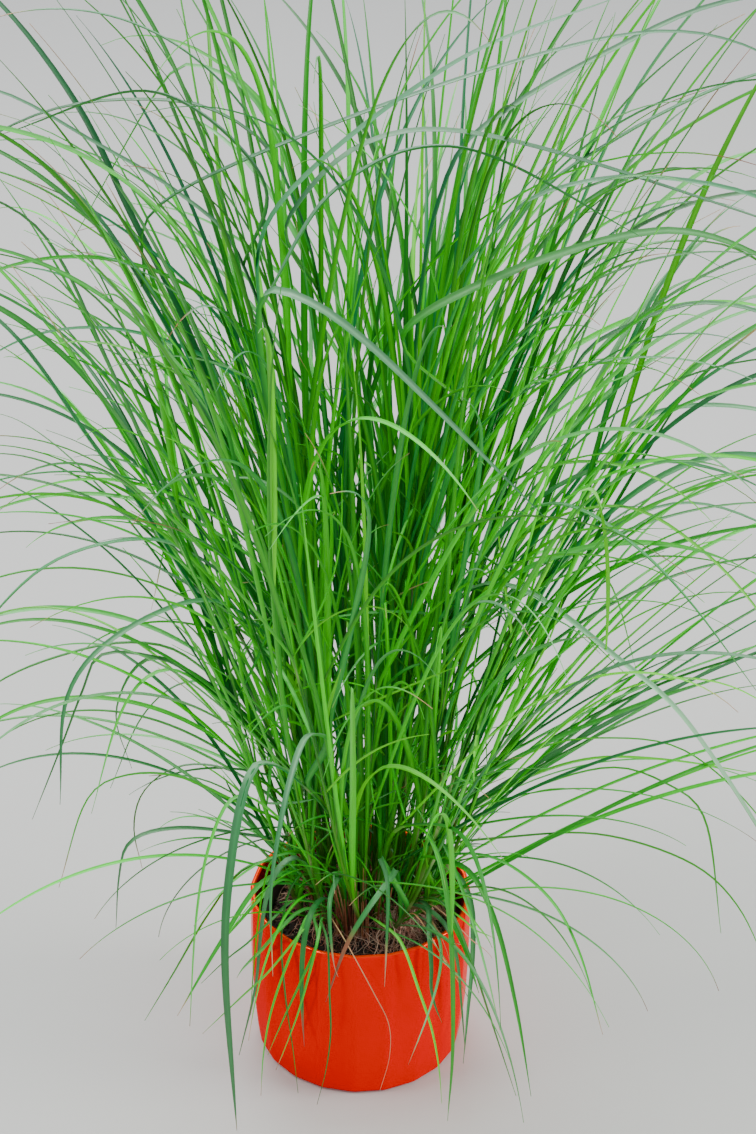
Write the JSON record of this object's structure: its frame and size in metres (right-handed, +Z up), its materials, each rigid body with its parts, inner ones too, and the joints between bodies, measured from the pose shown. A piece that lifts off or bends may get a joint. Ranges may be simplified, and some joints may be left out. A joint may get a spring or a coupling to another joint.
{
  "type": "potted ornamental grass clump",
  "caption": "Clump of long arching ornamental grass in a small round glazed pot with many narrow flat facets.",
  "frame": {"origin": "centre of the pot's flat foot, on the ground", "axes": "+Z up, -Y towards the front of the plant as it is seen, +X to the viewer's right"},
  "size_m": [0.8172, 0.801, 0.9694],
  "materials": {
    "glaze": "glossy orange-red fired glaze",
    "growing_pot": "dull, thin moulded",
    "peat": "loose moist peat with fine roots",
    "grass": "satin living blades, paler and greyer where they arch over"
  },
  "bodies": {
    "root": {"nursery_pot": "growing_pot", "pot": "glaze", "shoot_01": "grass", "shoot_02": "grass", "shoot_03": "grass", "shoot_04": "grass", "shoot_05": "grass", "shoot_06": "grass", "shoot_07": "grass", "shoot_08": "grass", "shoot_09": "grass", "shoot_10": "grass", "shoot_11": "grass", "shoot_12": "grass", "shoot_13": "grass", "shoot_14": "grass", "shoot_15": "grass", "shoot_16": "grass", "shoot_17": "grass", "shoot_18": "grass", "shoot_19": "grass", "shoot_20": "grass", "shoot_21": "grass", "shoot_22": "grass", "shoot_23": "grass", "shoot_24": "grass", "shoot_25": "grass", "shoot_26": "grass", "shoot_27": "grass", "shoot_28": "grass", "shoot_29": "grass", "shoot_30": "grass", "shoot_31": "grass", "shoot_32": "grass", "shoot_33": "grass", "shoot_34": "grass", "shoot_35": "grass", "shoot_36": "grass", "shoot_37": "grass", "shoot_38": "grass", "shoot_39": "grass", "shoot_40": "grass", "shoot_41": "grass", "shoot_42": "grass", "shoot_43": "grass", "shoot_44": "grass", "shoot_45": "grass", "shoot_46": "grass", "shoot_47": "grass", "shoot_48": "grass", "soil": "peat"}
  },
  "joints": []
}
